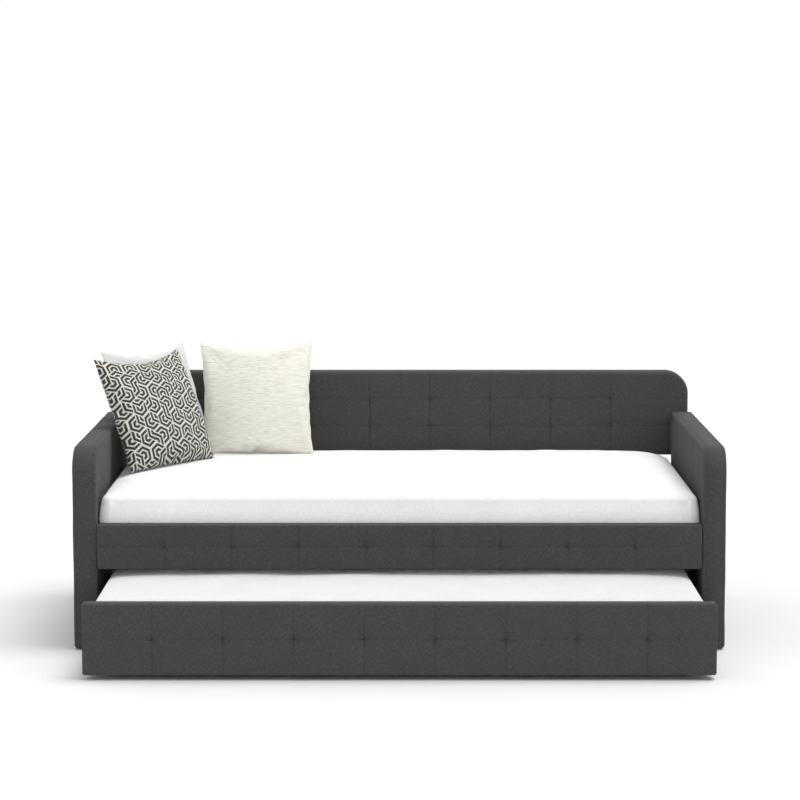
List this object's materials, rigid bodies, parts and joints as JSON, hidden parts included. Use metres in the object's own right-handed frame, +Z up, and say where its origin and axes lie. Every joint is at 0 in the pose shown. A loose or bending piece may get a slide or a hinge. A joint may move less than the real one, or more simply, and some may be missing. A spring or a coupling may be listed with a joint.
{
  "type": "trundle bed",
  "caption": "Upholstered daybed with slab arms, a grid-tufted back and rail, and a roll-out trundle on casters, dressed with mattresses and pillows.",
  "frame": {"origin": "on the floor under the middle of the bed's box, with the trundle drawn out 460 mm", "axes": "+X along the bed to the right arm, -Y towards the open front, +Z up"},
  "size_m": [2.07, 1.575, 0.9083],
  "materials": {
    "charcoal_fabric": "woven polyester-linen upholstery, charcoal grey, matt",
    "hardwood": "raw plywood and hardwood under the cover",
    "pine": "planed pine, unvarnished",
    "black_board": "engineered board, black foil",
    "zinc_steel": "bright zinc plate",
    "black_steel": "black powder coat",
    "wheel": "hard grey-black rubber tread on a nylon hub",
    "glide": "black moulded plastic",
    "mattress_ticking": "white fitted cotton, matt",
    "white_cotton": "plain white cotton",
    "cream_weave": "ivory slub weave with horizontal ribs",
    "printed_weave": "off-white cotton with a dark printed maze of hexagons"
  },
  "bodies": {
    "daybed": {"back_cover": "charcoal_fabric", "back_panel": "hardwood", "arm_left_cover": "charcoal_fabric", "arm_left_panel": "hardwood", "arm_right_cover": "charcoal_fabric", "arm_right_panel": "hardwood", "glide_left_front": "glide", "glide_left_rear": "glide", "glide_right_front": "glide", "glide_right_rear": "glide", "rail_cover": "charcoal_fabric", "rail_board": "hardwood", "rear_rail_cover": "charcoal_fabric", "rear_rail_board": "hardwood", "front_ledger": "pine", "rear_ledger": "pine", "slat_01": "pine", "slat_02": "pine", "slat_03": "pine", "slat_04": "pine", "slat_05": "pine", "slat_06": "pine", "slat_07": "pine", "slat_08": "pine", "slat_09": "pine", "slat_10": "pine", "slat_11": "pine", "slat_12": "pine", "slat_13": "pine", "rail_bracket_left": "zinc_steel", "rail_bracket_right": "zinc_steel", "mattress": "mattress_ticking", "pillow_printed": "printed_weave", "pillow_white": "white_cotton", "pillow_cream": "cream_weave"},
    "trundle": {"trundle_front_cover": "charcoal_fabric", "trundle_front_board": "hardwood", "trundle_side_left": "black_board", "trundle_side_right": "black_board", "trundle_rear_board": "black_board", "trundle_front_cleat": "pine", "trundle_rear_cleat": "pine", "trundle_centre_rail": "pine", "trundle_deck_left": "pine", "trundle_deck_middle": "pine", "trundle_deck_right": "pine", "trundle_mattress": "mattress_ticking", "caster_fork_left_front": "black_steel", "caster_fork_left_rear": "black_steel", "caster_fork_right_front": "black_steel", "caster_fork_right_rear": "black_steel", "caster_axle_left_front": "zinc_steel", "caster_axle_left_rear": "zinc_steel", "caster_axle_right_front": "zinc_steel", "caster_axle_right_rear": "zinc_steel"},
    "wheel_left_front": {"caster_wheel_left_front": "wheel"},
    "wheel_left_rear": {"caster_wheel_left_rear": "wheel"},
    "wheel_right_front": {"caster_wheel_right_front": "wheel"},
    "wheel_right_rear": {"caster_wheel_right_rear": "wheel"}
  },
  "joints": [
    {"name": "trundle_slide", "type": "slide", "parent": "daybed", "child": "trundle", "axis": [0, -1, 0], "range_m": [-0.46, 0.57]},
    {"name": "wheel_left_front_spin", "type": "hinge", "parent": "trundle", "child": "wheel_left_front", "pos_m": [-0.88, -0.7052, 0.0225], "axis": [1, 0, 0], "continuous": true},
    {"name": "wheel_left_rear_spin", "type": "hinge", "parent": "trundle", "child": "wheel_left_rear", "pos_m": [-0.88, 0.1852, 0.0225], "axis": [1, 0, 0], "continuous": true},
    {"name": "wheel_right_front_spin", "type": "hinge", "parent": "trundle", "child": "wheel_right_front", "pos_m": [0.88, -0.7052, 0.0225], "axis": [1, 0, 0], "continuous": true},
    {"name": "wheel_right_rear_spin", "type": "hinge", "parent": "trundle", "child": "wheel_right_rear", "pos_m": [0.88, 0.1852, 0.0225], "axis": [1, 0, 0], "continuous": true}
  ],
  "couplings": [
    {"joint": "wheel_left_front_spin", "follows": "trundle_slide", "rad_per_m": 44.444},
    {"joint": "wheel_left_rear_spin", "follows": "trundle_slide", "rad_per_m": 44.444},
    {"joint": "wheel_right_front_spin", "follows": "trundle_slide", "rad_per_m": 44.444},
    {"joint": "wheel_right_rear_spin", "follows": "trundle_slide", "rad_per_m": 44.444}
  ]
}
